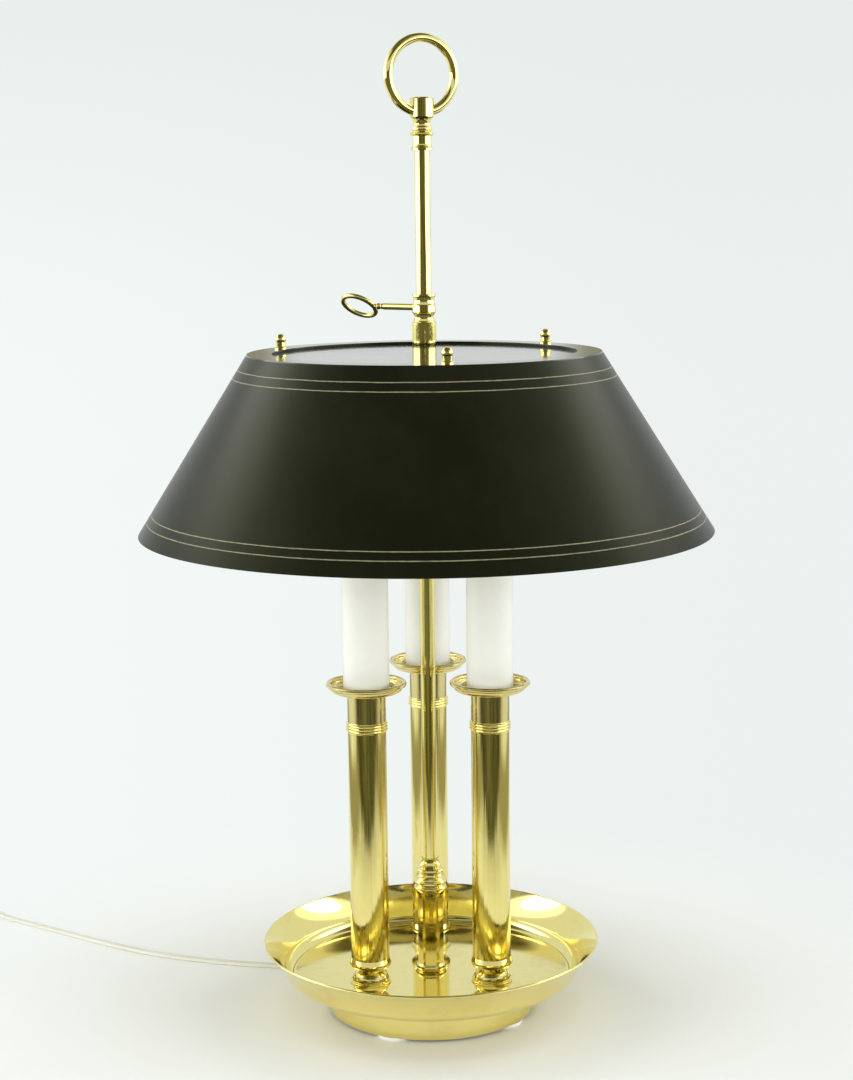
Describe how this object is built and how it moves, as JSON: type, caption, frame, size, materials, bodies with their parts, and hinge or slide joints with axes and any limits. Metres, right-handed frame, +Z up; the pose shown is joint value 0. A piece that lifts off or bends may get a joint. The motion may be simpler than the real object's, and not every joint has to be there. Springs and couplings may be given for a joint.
{
  "type": "bouillotte table lamp",
  "caption": "Table lamp with candle-style columns on a round dish base, a conical shade that slides on a central rod, a ring key that locks it and a carrying ring on top.",
  "frame": {"origin": "on the lamp's vertical axis, at the plane under its pads", "axes": "+Z up along the rod, -Y towards the viewer of the picture, +X to the viewer's right"},
  "size_m": [0.6901, 0.4678, 0.6982],
  "materials": {
    "polished_brass": "polished and lacquered, mirror-like",
    "plain_brass": "plain rolled sheet",
    "plain_steel": "zinc plated",
    "cast_weight": "raw casting",
    "base_board": "dark pressed board",
    "white_pad": "soft matt white",
    "candle_enamel": "smooth cream",
    "socket_phenolic": "moulded black",
    "bulb_cap": "rolled screw cap",
    "clear_glass": "clear blown glass",
    "shade_paint": "dark olive black, satin",
    "plate_paint": "dark olive black, gloss",
    "cord_jacket": "pale translucent jacket",
    "switch_plastic": "moulded cream",
    "plug_plastic": "moulded cream",
    "tie_paper": "paper-covered wire"
  },
  "bodies": {
    "base": {"base_dish": "polished_brass", "foot_ring": "polished_brass", "base_weight": "cast_weight", "base_cover": "base_board", "rubber_feet": "white_pad", "cord_bushing": "cord_jacket", "lock_nuts": "plain_steel", "main_rod": "polished_brass", "centre_base_ring": "polished_brass", "centre_sleeve": "polished_brass", "centre_cap": "polished_brass", "finial_body": "polished_brass", "finial_ring": "polished_brass", "cord_lead": "cord_jacket", "cord_run": "cord_jacket", "cord_coil": "cord_jacket", "cord_tail": "cord_jacket", "cord_tie": "tie_paper", "switch_case": "switch_plastic", "plug_body": "plug_plastic", "plug_blades": "plain_brass", "column_foot_left": "polished_brass", "column_foot_right": "polished_brass", "column_foot_back": "polished_brass", "column_tube_left": "polished_brass", "column_tube_right": "polished_brass", "column_tube_back": "polished_brass", "bead_ring_left": "polished_brass", "bead_ring_right": "polished_brass", "bead_ring_back": "polished_brass", "drip_pan_left": "polished_brass", "drip_pan_right": "polished_brass", "drip_pan_back": "polished_brass", "candle_sleeve_left": "candle_enamel", "candle_sleeve_right": "candle_enamel", "candle_sleeve_back": "candle_enamel", "stem_pipe_left": "plain_steel", "stem_pipe_right": "plain_steel", "stem_pipe_back": "plain_steel", "socket_left": "socket_phenolic", "socket_right": "socket_phenolic", "socket_back": "socket_phenolic", "socket_shell_left": "plain_brass", "socket_shell_right": "plain_brass", "socket_shell_back": "plain_brass", "bulb_base_left": "bulb_cap", "bulb_base_right": "bulb_cap", "bulb_base_back": "bulb_cap", "bulb_glass_left": "clear_glass", "bulb_glass_right": "clear_glass", "bulb_glass_back": "clear_glass"},
    "slider": {"slider_hub": "polished_brass", "slider_nut": "plain_steel"},
    "shade": {"shade": "shade_paint", "shade_disc": "plate_paint", "ball_nuts": "polished_brass", "disc_screws": "plain_steel"},
    "key": {"key_screw": "polished_brass", "key_bow": "polished_brass"},
    "switch_wheel": {"switch_wheel": "switch_plastic"}
  },
  "joints": [
    {"name": "shade_height", "type": "slide", "parent": "base", "child": "slider", "axis": [0, 0, 1], "range_m": [-0.07, 0.097]},
    {"name": "shade_turn", "type": "hinge", "parent": "slider", "child": "shade", "pos_m": [0, 0, 0.4774], "axis": [0, 0, 1], "continuous": true},
    {"name": "key_turn", "type": "hinge", "parent": "slider", "child": "key", "pos_m": [0, 0, 0.51095], "axis": [-0.8192, 0.5736, 0], "range_deg": [0, 360]},
    {"name": "switch_turn", "type": "hinge", "parent": "base", "child": "switch_wheel", "pos_m": [-0.408, 0.2345, 0.0085], "axis": [0, 0, 1], "continuous": true}
  ]
}
